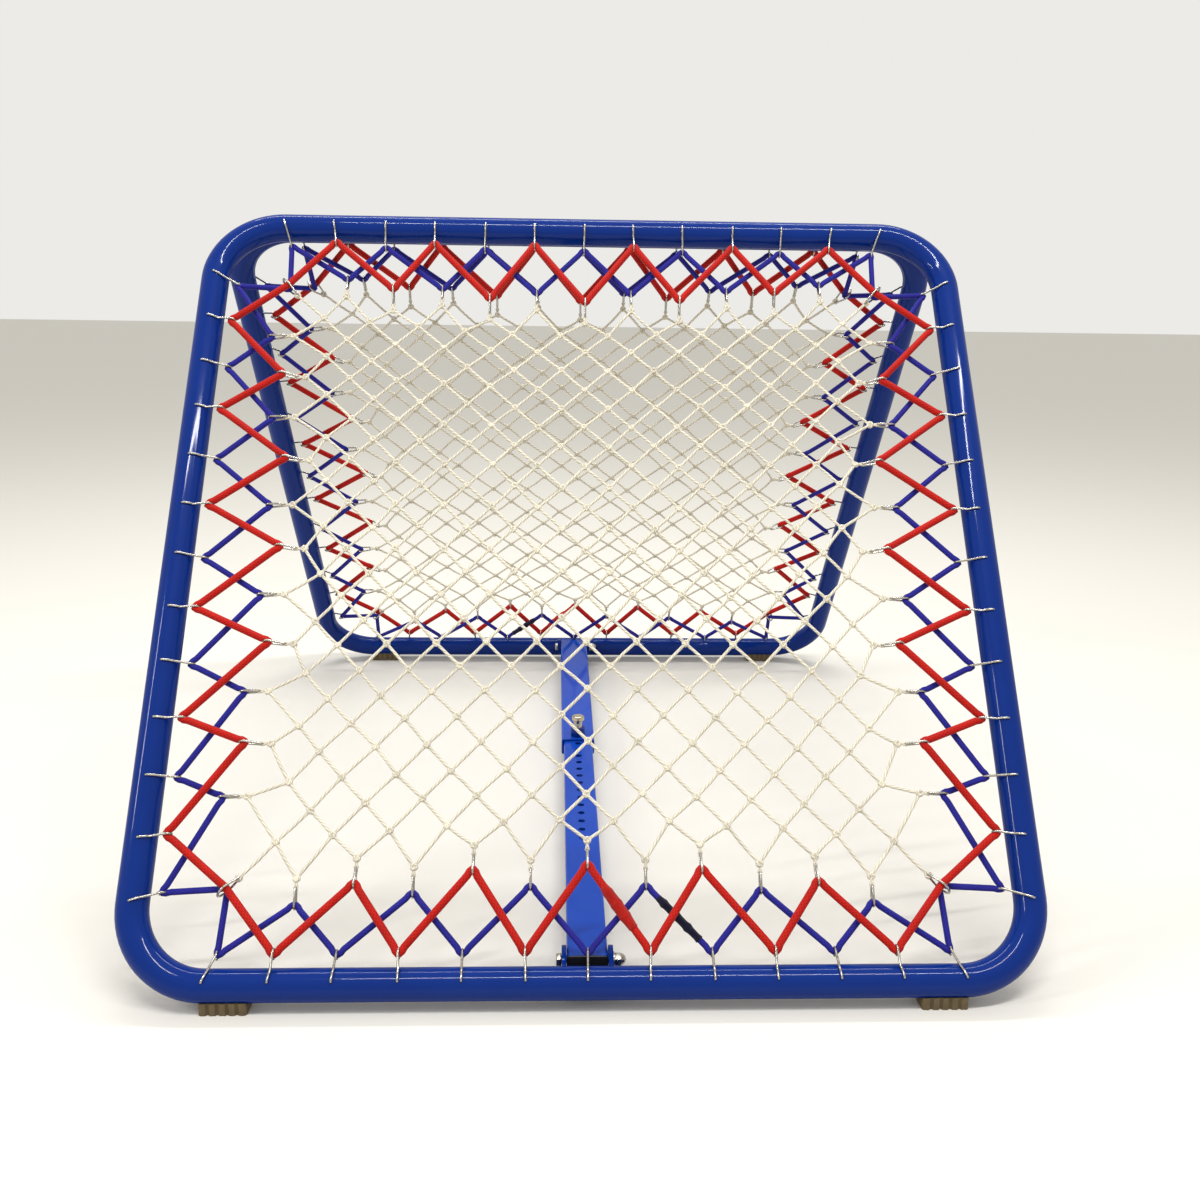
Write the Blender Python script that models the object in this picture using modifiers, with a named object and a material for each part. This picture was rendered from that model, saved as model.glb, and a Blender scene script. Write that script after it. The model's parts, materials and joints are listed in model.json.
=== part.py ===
"""Pitch back rebounder: two square tube frames hinged into an A-frame.

Each frame carries a square net, laced to the tube by two zigzag loops of
elastic cord.  A telescopic strut with a spring plunger holds the two bottom
tubes apart.  Metres, +Z up, origin on the floor below the middle, +X along
the tubes, the front frame on the -Y side.
"""
import math

import bmesh
import bpy
from mathutils import Matrix, Vector

# ---- frames -----------------------------------------------------------------
FRAME_SIDE = 1.000          # outer side of each square frame
TUBE_OD = 0.035
TUBE_WALL = 0.002
CORNER_RADIUS = 0.085       # bend radius on the tube's centre line
CORNER_STEPS = 6
LEAN = math.radians(53.5)   # angle of each frame to the floor
TOP_GAP = 0.008             # clear gap between the two top tubes
TOUCH = 0.0003              # gap between pieces that bear on each other

# ---- nets and elastic cords (insets are measured from the tube's centre) ------
HOOKS_PER_SIDE = 13
HOOK_SPAN = 0.3963          # first and last tube hook from the side's middle
NET_HOOK_PITCH = 0.0622
NET_THICKNESS = 0.003
NET_INSET = 0.1375
NET_HEIGHT = 0.003          # of the net's plane over the frame's plane
NET_CORNER_RADIUS = 0.020
NET_CORNER_INSET = 0.0985   # of the corner net hooks, which hold both cords
CORD_OUTER_INSET = 0.030    # of a cord's bend at a tube hook
RED_CORD = 0.0085
RED_MIDDLE_INSET = 0.1215
RED_END_INSET = 0.1025
RED_HEIGHT = 0.011
BLUE_CORD = 0.007
BLUE_MIDDLE_INSET = 0.1015
BLUE_END_INSET = 0.0825
BLUE_HEIGHT = 0.001
CORD_BEND = 0.005           # half length of the flat at each bend
SPLICE_LENGTH = 0.050
SPLICE_WALL = 0.0012

# ---- feet ---------------------------------------------------------------------
FOOT_X = 0.377
FOOT_LENGTH = 0.050
FOOT_WIDTH = 0.030
FOOT_DROP = 0.008           # rubber below the tube
FOOT_WRAP = 0.006           # rubber up the tube's flanks
FOOT_RIBS = 4
RIB_RADIUS = 0.002
FOOT_CORNER = 0.003
SCREW_RADIUS = 0.002
SCREW_HEAD_RADIUS = 0.0042
SCREW_HEAD_HEIGHT = 0.002
SCREW_RECESS = 0.0035

# ---- strut brackets and pivots ----------------------------------------------------
PIVOT_IN = 0.0315           # pivot from the bottom tube's centre, inwards
PIVOT_UP = 0.009            # and upwards
EAR_RADIUS = 0.015
EAR_THICKNESS = 0.005
EAR_CLEARANCE = 0.0005      # each side of the strut
BOLT_RADIUS = 0.004
BOLT_FIT = 0.0003
BOLT_HEAD_FLATS = 0.013
BOLT_HEAD_HEIGHT = 0.0055
WASHER_RADIUS = 0.008
WASHER_THICKNESS = 0.0016
NUT_HEIGHT = 0.0065
DOME_HEIGHT = 0.0055
DOME_STEP = 0.0005          # of the nut's flats round its dome

# ---- telescopic strut ---------------------------------------------------------------
SLEEVE_WIDTH = 0.051
SLEEVE_HEIGHT = 0.025
SLEEVE_WALL = 0.002
SLEEVE_LENGTH = 0.526       # mouth to rear pivot
SLIDE_GAP = 0.0015          # between the bar and the sleeve, all round
BAR_WALL = 0.0015
BAR_OVERLAP = 0.100         # of the bar past the plunger
SECTION_RADIUS = 0.003
END_MARGIN = 0.009          # sleeve past its pivot
BAR_END_MARGIN = 0.007      # bar past its pivot
HOLE_PITCH = 0.025
HOLE_COUNT = 15
HOLE_FIT = 0.0008           # of the setting holes round the pin
PLUG_FLANGE = 0.0025
PLUG_DEPTH = 0.018
PLUG_CORNER = 0.002

# ---- spring plunger -------------------------------------------------------------------
PLUNGER_SETBACK = 0.017     # behind the sleeve's mouth
BOSS_RADIUS = 0.011
BOSS_HEIGHT = 0.013
BARREL_RADIUS = 0.0062
BARREL_WALL = 0.0014
BARREL_HEIGHT = 0.021
BARREL_TOP = 0.002
PIN_RADIUS = 0.004
COLLAR_FIT = 0.0002         # of the collar in the barrel
COLLAR_HEIGHT = 0.003
STEM_RADIUS = 0.0025
PIN_CLEARANCE = 0.0005      # of the pin's end over the bar
KNOB_RADIUS = 0.0095
KNOB_HEIGHT = 0.0115
KNOB_EDGE = 0.002           # rounding of the knob's top edge
KNOB_NECK = 0.003           # height of the narrow neck under the grip
KNOB_NECK_SHARE = 0.75      # of the grip's radius
STEM_DEPTH_SHARE = 0.7      # of the knob's height that the stem fills
NOSE_BEVEL = 0.0005
SPRING_WIRE = 0.0009
SPRING_TURNS = 5

# ---- top hinges ------------------------------------------------------------------------
HINGE_X = 0.300
HINGE_DROP = 0.008          # of the hinge axis below the top tubes' centres
KNUCKLE_LENGTH = 0.024
KNUCKLE_GAP = 0.0006
HINGE_PIN_RADIUS = 0.003
HINGE_PIN_FIT = 0.0002
HINGE_HEAD_HEIGHT = 0.004

# ---- worked out from the above ---------------------------------------------------------
TUBE_RADIUS = TUBE_OD / 2
BAR_WIDTH = SLEEVE_WIDTH - 2 * (SLEEVE_WALL + SLIDE_GAP)
BAR_HEIGHT = SLEEVE_HEIGHT - 2 * (SLEEVE_WALL + SLIDE_GAP)
HOLE_RADIUS = PIN_RADIUS + HOLE_FIT
BARREL_BORE = BARREL_RADIUS - BARREL_WALL
COLLAR_RADIUS = BARREL_BORE - COLLAR_FIT
HALF = (FRAME_SIDE - TUBE_OD) / 2
STRAIGHT = HALF - CORNER_RADIUS
BOTTOM_Z = FOOT_DROP + TUBE_RADIUS
TOP_Z = BOTTOM_Z + 2 * HALF * math.sin(LEAN)
BOTTOM_Y = 2 * HALF * math.cos(LEAN) + TUBE_RADIUS + TOP_GAP / 2
HINGE_Z = TOP_Z - HINGE_DROP
KNUCKLE_RADIUS = math.hypot(TUBE_RADIUS + TOP_GAP / 2, HINGE_DROP) - TUBE_RADIUS - TOUCH
PIVOT_Y = BOTTOM_Y - PIVOT_IN
PIVOT_Z = BOTTOM_Z + PIVOT_UP
MOUTH_Y = PIVOT_Y - SLEEVE_LENGTH
PLUNGER_Y = MOUTH_Y + PLUNGER_SETBACK
SLEEVE_TOP_Z = PIVOT_Z + SLEEVE_HEIGHT / 2
BAR_TOP_Z = PIVOT_Z + BAR_HEIGHT / 2

FRONT = Matrix.Translation((0, -BOTTOM_Y, BOTTOM_Z)) @ Matrix.Rotation(LEAN, 4, "X")
HALF_TURN = Matrix.Rotation(math.pi, 4, "Z")
ALONG_X = Matrix(((0, 0, 1, 0), (1, 0, 0, 0), (0, 1, 0, 0), (0, 0, 0, 1)))
ALONG_Y = Matrix.Rotation(math.pi / 2, 4, "X")

COLOURS = {
    "blue_powder_coat": ((0.006, 0.045, 0.42), 0.28, 0.0),
    "strut_powder_coat": ((0.017, 0.085, 0.50), 0.35, 0.0),
    "zinc_steel": ((0.62, 0.60, 0.55), 0.30, 1.0),
    "nickel_knob": ((0.66, 0.60, 0.48), 0.25, 1.0),
    "black_plastic": ((0.012, 0.012, 0.013), 0.5, 0.0),
    "brown_rubber": ((0.07, 0.045, 0.022), 0.75, 0.0),
    "red_cord": ((0.75, 0.015, 0.006), 0.6, 0.0),
    "blue_cord": ((0.03, 0.026, 0.30), 0.6, 0.0),
    "cream_net": ((0.80, 0.78, 0.70), 0.8, 0.0),
}


# ---- helpers -----------------------------------------------------------------------------
def clear_scene():
    """Remove every object, so that the script can be run again."""
    for item in list(bpy.data.objects):
        bpy.data.objects.remove(item, do_unlink=True)


def new_collection(name):
    """Make a collection in the scene."""
    group = bpy.data.collections.new(name)
    bpy.context.scene.collection.children.link(group)
    return group


def finish_of(slot, node):
    """Give a node its own Principled material in one of the named finishes."""
    colour, roughness, metallic = COLOURS[slot]
    made = bpy.data.materials.new(node + "_" + slot)
    made.use_nodes = True
    shader = made.node_tree.nodes["Principled BSDF"]
    shader.inputs["Base Color"].default_value = (*colour, 1.0)
    shader.inputs["Roughness"].default_value = roughness
    shader.inputs["Metallic"].default_value = metallic
    return made


def add_object(name, data, slot, matrix, parent):
    """Put a mesh or curve into the parts collection, in its place."""
    item = bpy.data.objects.new(name, data)
    PARTS.objects.link(item)
    item.data.materials.append(finish_of(slot, name))
    item.parent = parent
    item.matrix_world = matrix
    return item


def joint_empty(name, location, parent=None):
    """Make the empty that sits on a joint's axis and carries its pieces."""
    item = bpy.data.objects.new(name, None)
    PARTS.objects.link(item)
    item.empty_display_size = 0.05
    item.parent = parent
    item.matrix_world = Matrix.Translation(location)
    bpy.context.view_layer.update()
    return item


def arc(centre, radius, start, end, steps):
    """Points on a plane arc, both ends included."""
    turn = (end - start) / steps
    return [(centre[0] + radius * math.cos(start + turn * i),
             centre[1] + radius * math.sin(start + turn * i)) for i in range(steps + 1)]


def circle(radius, steps, centre=(0.0, 0.0)):
    """Points on a closed circle."""
    return arc(centre, radius, 0, 2 * math.pi, steps)[:-1]


def rounded_rectangle(width, height, radius, steps):
    """Points on a closed rectangle with round corners, centred on 0, 0."""
    points = []
    for turn, sx, sy in ((0, 1, 1), (1, -1, 1), (2, -1, -1), (3, 1, -1)):
        centre = (sx * (width / 2 - radius), sy * (height / 2 - radius))
        start = turn * math.pi / 2
        points += arc(centre, radius, start, start + math.pi / 2, steps)
    return points


def poly_spline(curve, points, cyclic):
    """Add one POLY spline through 3-D points."""
    spline = curve.splines.new("POLY")
    spline.points.add(len(points) - 1)
    for knot, point in zip(spline.points, points):
        knot.co = (*point, 1.0)
    spline.use_cyclic_u = cyclic


def flat_outline(name, loops, thickness, slot, matrix, parent):
    """Extrude a flat outline, with its holes, to a plate or a section."""
    curve = bpy.data.curves.new(name, "CURVE")
    curve.dimensions = "2D"
    curve.fill_mode = "BOTH"
    curve.extrude = thickness / 2
    for loop in loops:
        poly_spline(curve, [(x, y, 0.0) for x, y in loop], True)
    return add_object(name, curve, slot, matrix, parent)


def round_wire(name, points, diameter, cyclic, slot, matrix, parent):
    """Run a round bar of one diameter through the points."""
    curve = bpy.data.curves.new(name, "CURVE")
    curve.dimensions = "3D"
    curve.fill_mode = "FULL"
    curve.bevel_depth = diameter / 2
    curve.bevel_resolution = 2
    curve.use_fill_caps = not cyclic
    poly_spline(curve, points, cyclic)
    return add_object(name, curve, slot, matrix, parent)


def turned(name, profile, steps, slot, matrix, parent):
    """Turn a profile of radius and height points about local Z."""
    mesh = bpy.data.meshes.new(name)
    edges = [(i, i + 1) for i in range(len(profile) - 1)]
    mesh.from_pydata([(r, 0.0, z) for r, z in profile], edges, [])
    item = add_object(name, mesh, slot, matrix, parent)
    screw = item.modifiers.new("turn", "SCREW")
    screw.axis = "Z"
    screw.steps = steps
    screw.render_steps = steps
    screw.use_merge_vertices = True
    screw.merge_threshold = 0.00001
    screw.use_smooth_shade = True
    return item


def prism(name, radius, length, sides, slot, matrix, parent):
    """Make a cylinder or a hexagon, centred, along local Z."""
    mesh = bpy.data.meshes.new(name)
    shape = bmesh.new()
    bmesh.ops.create_cone(shape, cap_ends=True, segments=sides, radius1=radius,
                          radius2=radius, depth=length)
    shape.to_mesh(mesh)
    shape.free()
    return add_object(name, mesh, slot, matrix, parent)


def to_mesh(item):
    """Replace a curve by its closed mesh, so that it can be cut."""
    bpy.context.view_layer.update()
    graph = bpy.context.evaluated_depsgraph_get()
    mesh = bpy.data.meshes.new_from_object(item.evaluated_get(graph))
    shape = bmesh.new()
    shape.from_mesh(mesh)
    bmesh.ops.remove_doubles(shape, verts=shape.verts, dist=0.00001)
    shape.to_mesh(mesh)
    shape.free()
    name = item.name
    parent = item.parent
    matrix = item.matrix_world.copy()
    bpy.data.objects.remove(item, do_unlink=True)
    solid = bpy.data.objects.new(name, mesh)
    PARTS.objects.link(solid)
    solid.parent = parent
    solid.matrix_world = matrix
    return solid


def combine(target, tool, operation):
    """Cut or join a piece with a tool that moves to the cutters."""
    PARTS.objects.unlink(tool)
    CUTTERS.objects.link(tool)
    tool.hide_render = True
    tool.display_type = "WIRE"
    step = target.modifiers.new(tool.name, "BOOLEAN")
    step.operation = operation
    step.solver = "EXACT"
    step.object = tool


def cut_round(target, name, radius, length, sides, matrix):
    """Drill a round hole along the matrix's local Z."""
    tool = prism(name, radius, length, sides, "zinc_steel", matrix, None)
    combine(target, tool, "DIFFERENCE")


def at(x, y, z):
    """Shorthand for a translation."""
    return Matrix.Translation((x, y, z))


# ---- frames --------------------------------------------------------------------------------
def frame_tube(prefix, matrix, parent, side):
    """Bend the square tube and drill its two foot screw holes."""
    points = [(x, y + HALF, 0.0) for x, y in
              rounded_rectangle(2 * HALF, 2 * HALF, CORNER_RADIUS, CORNER_STEPS)]
    tube = round_wire(prefix + "_frame_tube", points, TUBE_OD, True, "blue_powder_coat",
                      matrix, parent)
    tube.data.bevel_resolution = 6
    tube = to_mesh(tube)
    tube.data.shade_smooth()
    wall = tube.modifiers.new("wall", "SOLIDIFY")
    wall.thickness = TUBE_WALL
    wall.offset = -1
    for label, sign in (("left", -1), ("right", 1)):
        hole = at(sign * FOOT_X, side * BOTTOM_Y, BOTTOM_Z - TUBE_RADIUS)
        cut_round(tube, prefix + "_tube_hole_" + label, SCREW_RADIUS + TOUCH,
                  4 * TUBE_WALL, 10, hole)


def foot(prefix, label, x, side, parent):
    """Rubber pad with a saddle for the tube and upright ribs on its faces."""
    height = FOOT_DROP + FOOT_WRAP
    name = prefix + "_foot_" + label
    centre = (x, side * BOTTOM_Y, 0.0)
    outline = rounded_rectangle(FOOT_LENGTH, FOOT_WIDTH, FOOT_CORNER, 2)
    pad = flat_outline(name, [outline], height, "brown_rubber",
                       at(x, centre[1], height / 2), parent)
    pad = to_mesh(pad)
    saddle = at(x, centre[1], BOTTOM_Z) @ ALONG_X
    cut_round(pad, name + "_saddle", TUBE_RADIUS + TOUCH, 2 * FOOT_LENGTH, 40, saddle)
    pitch = FOOT_LENGTH / (FOOT_RIBS + 1)
    for face in (-1, 1):
        for i in range(FOOT_RIBS):
            groove = at(x + (i + 1) * pitch - FOOT_LENGTH / 2,
                        centre[1] + face * FOOT_WIDTH / 2, height / 2)
            cut_round(pad, "%s_groove_%d_%d" % (name, face, i), RIB_RADIUS,
                      2 * height, 8, groove)
    cut_round(pad, name + "_hole", SCREW_RADIUS + TOUCH, 2 * height, 10,
              at(x, centre[1], 0.0))
    cut_round(pad, name + "_recess", SCREW_HEAD_RADIUS + TOUCH, 2 * SCREW_RECESS, 16,
              at(x, centre[1], 0.0))
    foot_screw(prefix, label, centre, parent)


def foot_screw(prefix, label, centre, parent):
    """Screw that holds the pad, its head sunk in the recess."""
    head_top = SCREW_RECESS - TOUCH
    tip = FOOT_DROP + 2 * TUBE_WALL
    profile = [(0.0, tip), (SCREW_RADIUS, tip - SCREW_RADIUS), (SCREW_RADIUS, head_top),
               (SCREW_HEAD_RADIUS, head_top),
               (SCREW_HEAD_RADIUS, head_top - SCREW_HEAD_HEIGHT / 2),
               (0.0, head_top - SCREW_HEAD_HEIGHT)]
    turned(prefix + "_foot_screw_" + label, profile, 12, "zinc_steel", at(*centre), parent)


def net(prefix, matrix, parent):
    """Thin square that stands for the knotted net."""
    side = 2 * (HALF - NET_INSET)
    flat_outline(prefix + "_net", [rounded_rectangle(side, side, NET_CORNER_RADIUS, 3)], NET_THICKNESS,
                 "cream_net", matrix @ at(0, HALF, NET_HEIGHT), parent)


def side_point(side, along, inset, height):
    """Point near one of the four sides, counted from the bottom, anticlockwise."""
    turn = Matrix.Rotation(side * math.pi / 2, 4, "Z")
    return at(0, HALF, 0) @ turn @ Vector((along, inset - HALF, height))


def cord_bends(first_hook, middle_inset, end_inset, height):
    """Bends of one cord: tube hook, net hook, tube hook, and so round the frame."""
    middle = (HOOKS_PER_SIDE - 1) / 2
    last_hook = HOOKS_PER_SIDE - 1 - first_hook
    tube_pitch = HOOK_SPAN / middle
    corner = HALF - NET_CORNER_INSET
    bends = []
    for side in range(4):
        bends.append(side_point(side, -corner, NET_CORNER_INSET, height))
        for hook in range(first_hook, last_hook + 1, 2):
            along = (hook - middle) * tube_pitch
            bends.append(side_point(side, along, CORD_OUTER_INSET, height))
            if hook < last_hook:
                step = hook + 1 - middle
                share = (step / (last_hook - 1 - middle)) ** 2
                inset = middle_inset + (end_inset - middle_inset) * share
                bends.append(side_point(side, step * NET_HOOK_PITCH, inset, height))
    return bends


def cord_path(bends):
    """Flatten each bend to two points, as the cord goes round its hook."""
    path = []
    for i, bend in enumerate(bends):
        for neighbour in (bends[i - 1], bends[(i + 1) % len(bends)]):
            path.append(bend + (neighbour - bend).normalized() * CORD_BEND)
    return path


def cords(prefix, matrix, parent):
    """The two elastic loops and the bound splice on each."""
    rows = (("red", 1, RED_MIDDLE_INSET, RED_END_INSET, RED_HEIGHT, RED_CORD),
            ("blue", 0, BLUE_MIDDLE_INSET, BLUE_END_INSET, BLUE_HEIGHT, BLUE_CORD))
    for colour, first, middle_inset, end_inset, height, diameter in rows:
        bends = cord_bends(first, middle_inset, end_inset, height)
        round_wire(prefix + "_%s_cord" % colour, cord_path(bends), diameter, True,
                   colour + "_cord", matrix, parent)
        start = (HOOKS_PER_SIDE - 1) // 2 + 2 * (1 - first)
        leg = bends[start + 1] - bends[start]
        turn = leg.to_track_quat("Z", "Y").to_matrix().to_4x4()
        bore = diameter / 2 + TOUCH
        rings = [circle(bore + SPLICE_WALL, 12), circle(bore, 12)]
        middle = (bends[start] + bends[start + 1]) / 2
        flat_outline(prefix + "_%s_splice" % colour, rings, SPLICE_LENGTH, colour + "_cord",
                     matrix @ Matrix.Translation(middle) @ turn, parent)


def ears(prefix, strut_width, side, parent):
    """Two plates welded to the bottom tube, with the pivot hole."""
    angle = math.atan2(PIVOT_UP, PIVOT_IN)
    weld = TUBE_RADIUS + TOUCH
    spread = math.asin(EAR_RADIUS / weld)
    pivot = (PIVOT_IN, PIVOT_UP)
    outline = arc((0, 0), weld, angle + spread, angle - spread, 6)
    outline += arc(pivot, EAR_RADIUS, angle - math.pi / 2, angle + math.pi / 2, 10)
    hole = circle(BOLT_RADIUS + BOLT_FIT, 16, pivot)
    offset = strut_width / 2 + EAR_CLEARANCE + EAR_THICKNESS / 2
    turn = HALF_TURN if side > 0 else Matrix.Identity(4)
    for label, x in (("left", -offset), ("right", offset)):
        place = turn @ at(x * -side, -BOTTOM_Y, BOTTOM_Z) @ ALONG_X
        flat_outline("%s_bracket_ear_%s" % (prefix, label), [outline, hole], EAR_THICKNESS,
                     "blue_powder_coat", place, parent)


def pivot_bolt(prefix, strut_width, side, parent):
    """Hexagon bolt, washer and domed nut through the ears and the strut."""
    ear_face = strut_width / 2 + EAR_CLEARANCE + EAR_THICKNESS
    y = side * PIVOT_Y
    nut_start = ear_face + 2 * TOUCH + WASHER_THICKNESS
    shank_end = nut_start + NUT_HEIGHT
    head_start = -ear_face - TOUCH
    shank_start = head_start - BOLT_HEAD_HEIGHT / 2
    flat_to_corner = 1 / math.sqrt(3)
    bolt = prism(prefix + "_pivot_bolt", BOLT_RADIUS, shank_end - shank_start, 16, "zinc_steel",
                 at((shank_start + shank_end) / 2, y, PIVOT_Z) @ ALONG_X, parent)
    head = prism(prefix + "_bolt_head", BOLT_HEAD_FLATS * flat_to_corner, BOLT_HEAD_HEIGHT, 6,
                 "zinc_steel", at(head_start - BOLT_HEAD_HEIGHT / 2, y, PIVOT_Z) @ ALONG_X, None)
    combine(bolt, head, "UNION")
    bore = circle(BOLT_RADIUS + BOLT_FIT, 16)
    flat_outline(prefix + "_pivot_washer", [circle(WASHER_RADIUS, 24), bore], WASHER_THICKNESS,
                 "zinc_steel",
                 at(ear_face + TOUCH + WASHER_THICKNESS / 2, y, PIVOT_Z) @ ALONG_X, parent)
    nut = prism(prefix + "_pivot_nut", BOLT_HEAD_FLATS * flat_to_corner, NUT_HEIGHT, 6,
                "zinc_steel", at(nut_start + NUT_HEIGHT / 2, y, PIVOT_Z) @ ALONG_X, parent)
    dome_radius = BOLT_HEAD_FLATS / 2 - DOME_STEP
    dome_profile = [(dome_radius * math.cos(t), NUT_HEIGHT / 2 + DOME_HEIGHT * math.sin(t))
                    for t in (math.pi / 2 * (1 - i / 5) for i in range(6))]
    dome_profile[0] = (0.0, NUT_HEIGHT / 2 + DOME_HEIGHT)
    dome_profile += [(dome_radius, 0.0), (0.0, 0.0)]
    dome = turned(prefix + "_nut_dome", dome_profile, 24, "zinc_steel",
                  at(nut_start + NUT_HEIGHT / 2, y, PIVOT_Z) @ ALONG_X, None)
    combine(nut, dome, "UNION")
    depth = NUT_HEIGHT + BOLT_FIT
    cut_round(nut, prefix + "_nut_bore", BOLT_RADIUS + BOLT_FIT, 2 * depth, 16,
              at(nut_start, y, PIVOT_Z) @ ALONG_X)


def whole_frame(prefix, side, strut_width, parent):
    """Everything that is fixed to one of the two frames."""
    matrix = FRONT if side < 0 else HALF_TURN @ FRONT
    frame_tube(prefix, matrix, parent, side)
    net(prefix, matrix, parent)
    cords(prefix, matrix, parent)
    for label, x in (("left", -FOOT_X), ("right", FOOT_X)):
        foot(prefix, label, x, side, parent)
    ears(prefix, strut_width, side, parent)
    pivot_bolt(prefix, strut_width, side, parent)


# ---- top hinges ------------------------------------------------------------------------------
def hinge(label, x, front_parent, rear_parent):
    """Barrel hinge between the top tubes: two front knuckles and a rear one."""
    ring = [circle(KNUCKLE_RADIUS, 16), circle(HINGE_PIN_RADIUS + HINGE_PIN_FIT, 12)]
    pitch = KNUCKLE_LENGTH + KNUCKLE_GAP
    rows = (("front_knuckle_a", -pitch, front_parent), ("rear_knuckle", 0.0, rear_parent),
            ("front_knuckle_b", pitch, front_parent))
    for piece, offset, parent in rows:
        flat_outline("hinge_%s_%s" % (label, piece), ring, KNUCKLE_LENGTH, "blue_powder_coat",
                     at(x + offset, 0, HINGE_Z) @ ALONG_X, parent)
    reach = pitch + KNUCKLE_LENGTH / 2 + KNUCKLE_GAP
    head_radius = KNUCKLE_RADIUS - TOUCH
    head = reach + HINGE_HEAD_HEIGHT
    profile = [(0.0, head), (head_radius, head), (head_radius, reach), (HINGE_PIN_RADIUS, reach),
               (HINGE_PIN_RADIUS, -head), (0.0, -head)]
    turned("hinge_%s_pin" % label, profile, 12, "zinc_steel", at(x, 0, HINGE_Z) @ ALONG_X,
           rear_parent)
    nut = [circle(head_radius, 6), circle(HINGE_PIN_RADIUS + HINGE_PIN_FIT, 12)]
    flat_outline("hinge_%s_nut" % label, nut, HINGE_HEAD_HEIGHT, "zinc_steel",
                 at(x - reach - HINGE_HEAD_HEIGHT / 2, 0, HINGE_Z) @ ALONG_X, rear_parent)


# ---- strut -----------------------------------------------------------------------------------
def box_section(name, width, height, wall, start, end, slot, parent):
    """Rectangular tube along Y, from start to end."""
    outer = rounded_rectangle(width, height, SECTION_RADIUS, 2)
    inner = rounded_rectangle(width - 2 * wall, height - 2 * wall, SECTION_RADIUS - wall / 2, 2)
    tube = flat_outline(name, [outer, inner], end - start, slot,
                        at(0, (start + end) / 2, PIVOT_Z) @ ALONG_Y, parent)
    return to_mesh(tube)


def strut_sleeve(parent):
    """Outer tube: pivoted on the rear brackets, open at its mouth."""
    sleeve = box_section("strut_sleeve", SLEEVE_WIDTH, SLEEVE_HEIGHT, SLEEVE_WALL, MOUTH_Y,
                         PIVOT_Y + END_MARGIN, "strut_powder_coat", parent)
    cut_round(sleeve, "sleeve_pivot_hole", BOLT_RADIUS + BOLT_FIT, 2 * SLEEVE_WIDTH, 16,
              at(0, PIVOT_Y, PIVOT_Z) @ ALONG_X)
    cut_round(sleeve, "sleeve_pin_hole", PIN_RADIUS + BOLT_FIT, 4 * SLEEVE_WALL, 16,
              at(0, PLUNGER_Y, SLEEVE_TOP_Z))


def strut_bar(parent):
    """Inner bar with its row of setting holes, and the plug in its front end."""
    start = -PIVOT_Y - BAR_END_MARGIN
    bar = box_section("strut_bar", BAR_WIDTH, BAR_HEIGHT, BAR_WALL, start,
                      PLUNGER_Y + BAR_OVERLAP, "strut_powder_coat", parent)
    cut_round(bar, "bar_pivot_hole", BOLT_RADIUS + BOLT_FIT, 2 * BAR_WIDTH, 16,
              at(0, -PIVOT_Y, PIVOT_Z) @ ALONG_X)
    for i in range(HOLE_COUNT):
        cut_round(bar, "bar_hole_%02d" % i, HOLE_RADIUS, 4 * BAR_WALL, 12,
                  at(0, PLUNGER_Y - i * HOLE_PITCH, BAR_TOP_Z))
    end_plug(start, parent)


def end_plug(bar_start, parent):
    """Black plug: a flange over the bar's end and a block inside it."""
    flange = rounded_rectangle(BAR_WIDTH, BAR_HEIGHT, SECTION_RADIUS, 2)
    plug = flat_outline("bar_end_plug", [flange], PLUG_FLANGE, "black_plastic",
                        at(0, bar_start - TOUCH - PLUG_FLANGE / 2, PIVOT_Z) @ ALONG_Y, parent)
    plug = to_mesh(plug)
    inset = 2 * (BAR_WALL + TOUCH)
    block = rounded_rectangle(BAR_WIDTH - inset, BAR_HEIGHT - inset, PLUG_CORNER, 2)
    length = PLUG_DEPTH + PLUG_FLANGE / 2
    tool = flat_outline("plug_block", [block], length, "black_plastic",
                        at(0, bar_start - PLUG_FLANGE / 2 + length / 2, PIVOT_Z) @ ALONG_Y, None)
    tool = to_mesh(tool)
    combine(plug, tool, "UNION")
    cut_round(plug, "plug_hole", BOLT_RADIUS + BOLT_FIT, 2 * BAR_WIDTH, 16,
              at(0, -PIVOT_Y, PIVOT_Z) @ ALONG_X)


# ---- spring plunger ------------------------------------------------------------------------------
def plunger_fixed(parent):
    """Boss welded on the sleeve, the barrel screwed into it and the spring."""
    place = at(0, PLUNGER_Y, SLEEVE_TOP_Z)
    boss = [circle(BOSS_RADIUS, 24), circle(BARREL_RADIUS + TOUCH, 24)]
    flat_outline("plunger_boss", boss, BOSS_HEIGHT, "blue_powder_coat",
                 place @ at(0, 0, TOUCH + BOSS_HEIGHT / 2), parent)
    roof = BARREL_HEIGHT - BARREL_TOP
    stem_hole = STEM_RADIUS + TOUCH
    profile = [(stem_hole, BARREL_HEIGHT), (BARREL_RADIUS, BARREL_HEIGHT), (BARREL_RADIUS, TOUCH),
               (BARREL_BORE, TOUCH), (BARREL_BORE, roof), (stem_hole, roof),
               (stem_hole, BARREL_HEIGHT)]
    turned("plunger_barrel", profile, 24, "zinc_steel", place, parent)
    low = 2 * TOUCH + COLLAR_HEIGHT + TOUCH + SPRING_WIRE / 2
    high = roof - TOUCH - SPRING_WIRE / 2
    radius = (STEM_RADIUS + BARREL_BORE) / 2
    count = SPRING_TURNS * 9
    coil = []
    for i in range(count + 1):
        angle = 2 * math.pi * SPRING_TURNS * i / count
        coil.append((radius * math.cos(angle), radius * math.sin(angle),
                     low + (high - low) * i / count))
    round_wire("plunger_spring", coil, SPRING_WIRE, False, "zinc_steel", place, parent)


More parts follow.
